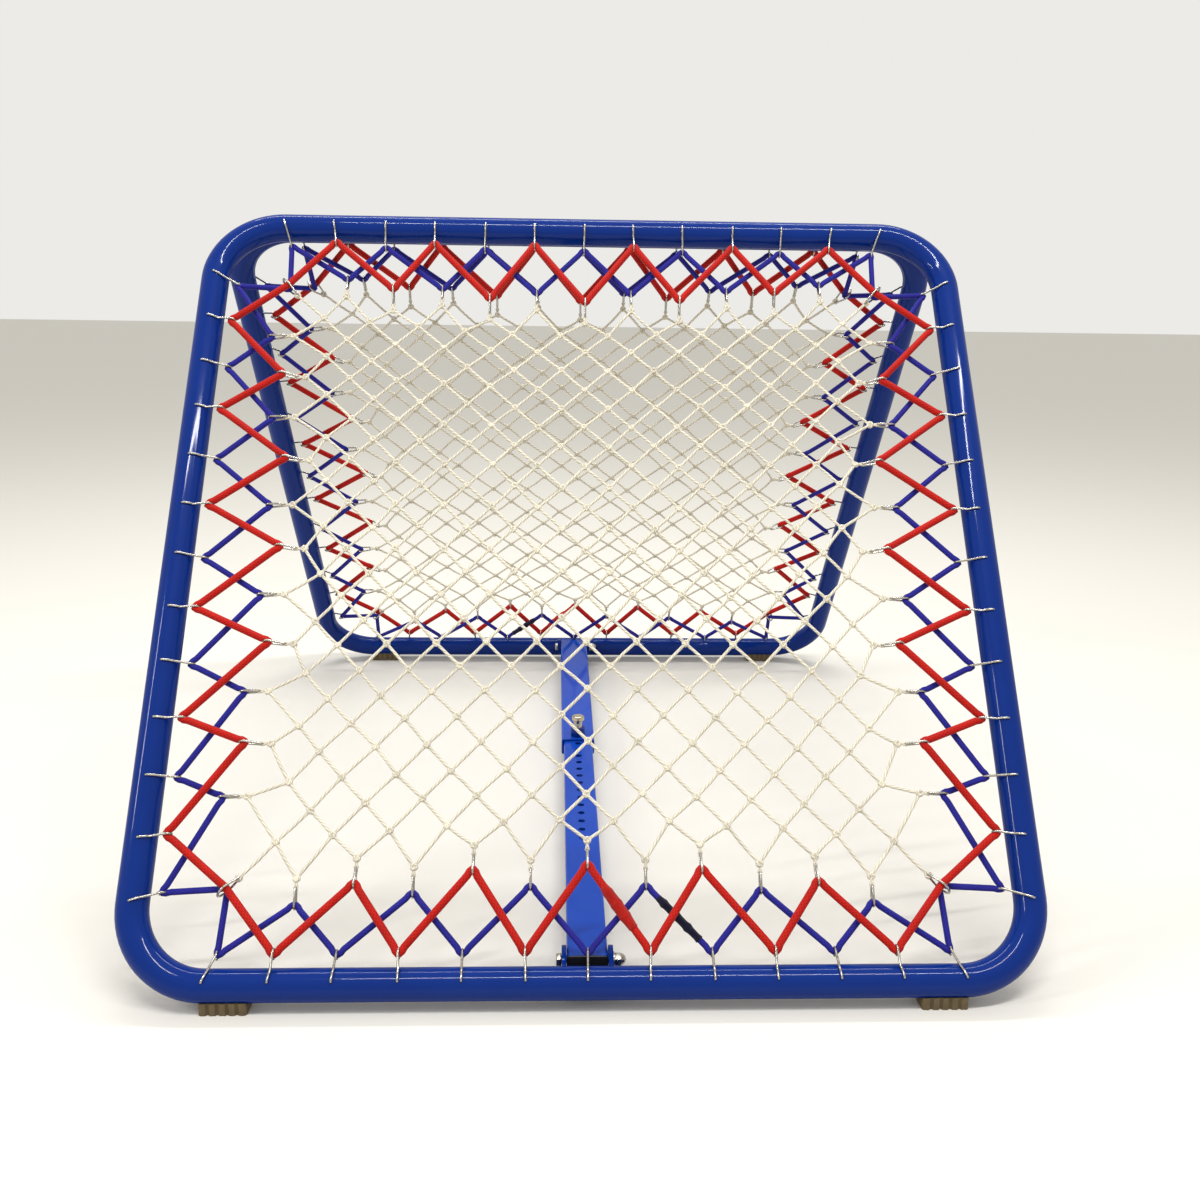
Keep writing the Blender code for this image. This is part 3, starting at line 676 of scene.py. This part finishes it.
def tube_hooks(end, dice):
    """All the tube hooks of one frame as one piece."""
    paths = []
    for colour in CORDS:
        for side, along, inset, kind in plans[end][colour]:
            if kind == "tube":
                skew = HOOK_SKEW * corner_draw(along) + dice.uniform(-LOOSENESS, LOOSENESS)
                points = []
                for reach, lift in hook_profile(colour):
                    slide = skew * (1 - min(reach, TUBE_BEND_INSET) / TUBE_BEND_INSET)
                    points.append(on_side(side, along + slide, reach, lift))
                paths.append((points, False))
    piece = run_wires(end + "_tube_hooks", paths, HOOK_WIRE, HOOK_SIDES, hook_wire,
                      end + "_frame", places[end])
    close_points(piece.data)
    return piece, len(paths)


for number, end in enumerate(places):
    piece, count = tube_hooks(end, random.Random(HOOK_SEED + number))
    print(piece.name, count, "hooks")

# %% [markdown]
# ## Net
# The net is knotted twine on the bias: its knots lie on a chequer and its twine
# runs in diagonals. The outer tips are drawn to the net hooks, wherever the cords
# hold those. Twine sags a hair between knots. A knot is two tight turns of the
# same twine, which read as a real knot and cost few faces.
# Past its last knot, each tip is a narrow doubled loop that the hook goes through.

# %% Net
NET_CELLS = 12
NET_CORNER = 0.373
LINK_REACH = 0.015          # from a cord's bend to the tip of the net
NET_MIDDLE = 0.343          # the net's edge bows in between its corners
NET_LIFT = 0.003
TWINE = 0.0036
KNOT_TURN = 0.0030
NET_UNEVEN = 0.0016
TIP_LOOP = 0.012
TIP_LOOP_WIDTH = 0.0022
TWINE_SIDES = 6
KNOT_POINTS = 8
KNOT_TILTS = (0.5, -0.6)    # the two turns of a knot cross each other
TWINE_SAG = 0.3             # a leg of twine bows up at most this share of its way down
NET_SEED = 5


def edge_reach(share):
    """How far out the net's edge stands, by the share of the way to a corner."""
    return NET_MIDDLE + (NET_CORNER - NET_MIDDLE) * share ** 2


def net_tips(end):
    """Tips of the net's edge as (side, along, inset), side by side in order."""
    tips = [(side, along, inset + LINK_REACH) for bends in plans[end].values()
            for side, along, inset, kind in bends if kind == "net"]
    return sorted(tips)


def net_knots(end, dice):
    """Places of the knots, by their row and column."""
    knots = {}
    turns = ((1, 0), (0, 1), (-1, 0), (0, -1))
    for i in range(-NET_CELLS, NET_CELLS + 1):
        for j in range(-NET_CELLS, NET_CELLS + 1):
            if (i + j) % 2:
                continue
            u, v = i / NET_CELLS, j / NET_CELLS
            x, y = u * edge_reach(v), v * edge_reach(u)
            if max(abs(i), abs(j)) < NET_CELLS:
                x += dice.uniform(-NET_UNEVEN, NET_UNEVEN)
                y += dice.uniform(-NET_UNEVEN, NET_UNEVEN) + SIDE_RISE[end] * (1 - v * v)
            knots[i, j] = Vector((x, y + half, NET_LIFT))
    steps = range(2 - NET_CELLS, NET_CELLS, 2)
    seats = [(side, step) for side in range(4) for step in steps]
    for (side, step), tip in zip(seats, net_tips(end)):
        ux, uy = turns[side]
        seat = (ux * step + uy * NET_CELLS, uy * step - ux * NET_CELLS)
        knots[seat] = on_side(tip[0], tip[1], tip[2] + TIP_LOOP, NET_LIFT)
    return knots


def tip_loops(end):
    """Narrow doubled loops from the last knots to the net hooks."""
    loops = []
    for side, along, far in net_tips(end):
        wide = far + TIP_LOOP_WIDTH
        loop = [(0, far + TIP_LOOP), (TIP_LOOP_WIDTH / 2, wide), (0, far),
                (-TIP_LOOP_WIDTH / 2, wide)]
        points = [on_side(side, along + shift, inset, NET_LIFT) for shift, inset in loop]
        loops.append((points, True))
    return loops


def net_twine(end, dice):
    """Twine between the knots, the two turns of each knot and the loops at the tips."""
    knots = net_knots(end, dice)
    paths = tip_loops(end)
    for (i, j), a in knots.items():
        for di in (-1, 1):
            b = knots.get((i + di, j + 1))
            if b:
                bow = Vector((dice.uniform(-1, 1), dice.uniform(-1, 1), dice.uniform(-1, TWINE_SAG)))
                middle = (a + b) / 2 + bow * NET_UNEVEN / 2
                paths.append(([a, a.lerp(middle, 0.6), middle, b.lerp(middle, 0.6), b], False))
        for tilt in KNOT_TILTS:
            turn = Matrix.Rotation(dice.uniform(0, math.pi), 3, "Z") @ Matrix.Rotation(tilt, 3, "X")
            ring = []
            for k in range(KNOT_POINTS):
                angle = 2 * math.pi * k / KNOT_POINTS
                ring.append(a + turn @ Vector((math.cos(angle), math.sin(angle), 0)) * KNOT_TURN)
            paths.append((ring, True))
    return paths


for number, end in enumerate(places):
    piece = run_wires(end + "_net_twine", net_twine(end, random.Random(NET_SEED + number)), TWINE,
                      TWINE_SIDES, twine, end + "_frame", places[end])
    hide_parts(end + "_net")
    print(piece.name, len(piece.data.polygons), "faces")

# %% [markdown]
# ## Net hooks
# Between the net's edge and the cords sits a long closed link of wire. One end
# goes round the cord's inner bend and the other through a tip of the net, so a
# link is two half circles joined by straight legs.

# %% Net hooks
LINK_STEPS = 6
CORNER_LINK_LIFT = 0.006    # both cords lie in a corner's link, one over the other
CORNER_LINK_RADIUS = 0.0105


def link_path(side_frame, cord_inset, cord_lift, cord_radius, tip_inset):
    """Closed link round a cord's bend and through the net's tip."""
    outer = cord_radius + HOOK_WIRE / 2
    inner = TWINE / 2 + HOOK_WIRE / 2
    points = []
    for i in range(LINK_STEPS + 1):
        angle = math.pi / 2 + math.pi * i / LINK_STEPS
        points.append(side_frame(cord_inset + outer * math.cos(angle),
                                 cord_lift + outer * math.sin(angle)))
    for i in range(LINK_STEPS + 1):
        angle = -math.pi / 2 + math.pi * i / LINK_STEPS
        points.append(side_frame(tip_inset + inner * math.cos(angle),
                                 NET_LIFT + inner * math.sin(angle)))
    return points, True


def on_diagonal(side, reach, lift):
    """Point on the diagonal from a side's first corner, by its reach from there."""
    inset = reach / math.sqrt(2)
    return on_side(side, inset - half, inset, lift)


def net_links(end):
    """All the net hooks of one frame as one piece."""
    paths = []
    for colour, plan in CORDS.items():
        for side, along, inset, kind in plans[end][colour]:
            if kind == "net":
                paths.append(link_path(lambda a, n: on_side(side, along, a, n), inset,
                                       plan["lift"], plan["diameter"] / 2, inset + LINK_REACH))
            if kind == "corner" and colour == "red":
                paths.append(link_path(lambda a, n: on_diagonal(side, a, n), inset * math.sqrt(2),
                                       CORNER_LINK_LIFT, CORNER_LINK_RADIUS,
                                       (half - NET_CORNER) * math.sqrt(2)))
    piece = run_wires(end + "_net_hooks", paths, HOOK_WIRE, HOOK_SIDES, hook_wire,
                      end + "_frame", places[end])
    return piece, len(paths)


for end in places:
    piece, count = net_links(end)
    print(piece.name, count, "links")

# %% [markdown]
# ## Hard parts
# The CAD solids of the strut, the brackets, the bolts and the feet have the
# right shape but knife edges. A copy of each is merged, its flat faces are
# joined up, its edges get a small bevel that catches the light, and only the
# edges sharper than thirty degrees stay crisp. The sleeve, the bar and the spring
# keep the edges that they have.

# %% Hard parts
SHARP = math.radians(30)
EDGE = 0.0004
FLAT_AREA = 0.00006
FLAT_NORMAL = 0.9999        # a face this square to an axis is one of the flat ones


def eased(node, material, body, edge):
    """Copy a CAD node with eased edges and smooth round faces."""
    shape = bmesh.new()
    shape.from_mesh(frame["nodes"][node].data)
    bmesh.ops.remove_doubles(shape, verts=shape.verts, dist=MERGE_DISTANCE)
    bmesh.ops.dissolve_limit(shape, angle_limit=math.radians(1), verts=shape.verts,
                             edges=shape.edges)
    crisp = [e for e in shape.edges if len(e.link_faces) == 2 and e.calc_face_angle() > SHARP]
    if edge:
        bmesh.ops.bevel(shape, geom=crisp, offset=edge, offset_type="OFFSET", affect="EDGES",
                        segments=2, profile=0.5, material=-1, clamp_overlap=True)
    mesh = bpy.data.meshes.new(node + "_eased")
    shape.to_mesh(mesh)
    shape.free()
    mesh.shade_smooth()
    mesh.set_sharp_from_angle(angle=SHARP)
    for face in mesh.polygons:
        if face.area > FLAT_AREA and max(abs(n) for n in face.normal) > FLAT_NORMAL:
            face.use_smooth = False
    mesh.materials.append(material)
    piece = bpy.data.objects.new(mesh.name, mesh)
    bpy.context.scene.collection.objects.link(piece)
    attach(piece, body)
    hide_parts(node)
    return piece


finishes = {
    "blue_powder_coat": frame_paint, "strut_powder_coat": strut_paint, "zinc_steel": zinc,
    "nickel_knob": nickel, "black_plastic": plastic, "brown_rubber": rubber,
}
laid = ("frame_tube", "_net", "_cord", "_splice")
slots = {part["node"]: part["material_slot"] for part in frame["record"]["subparts"]}
left_sharp = ("strut_bar", "strut_sleeve", "plunger_spring")
hard_parts = {}
for body, nodes in frame["record"]["behaviour"]["bodies"].items():
    for node in nodes:
        if not node.endswith(laid):
            edge = 0.0 if node in left_sharp else EDGE
            hard_parts[node] = eased(node, finishes[slots[node]], body, edge)
print(len(hard_parts), "hard parts")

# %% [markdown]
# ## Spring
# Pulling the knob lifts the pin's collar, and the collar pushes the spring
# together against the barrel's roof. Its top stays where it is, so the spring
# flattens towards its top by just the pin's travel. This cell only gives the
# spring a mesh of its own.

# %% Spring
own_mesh(hard_parts["plunger_spring"])
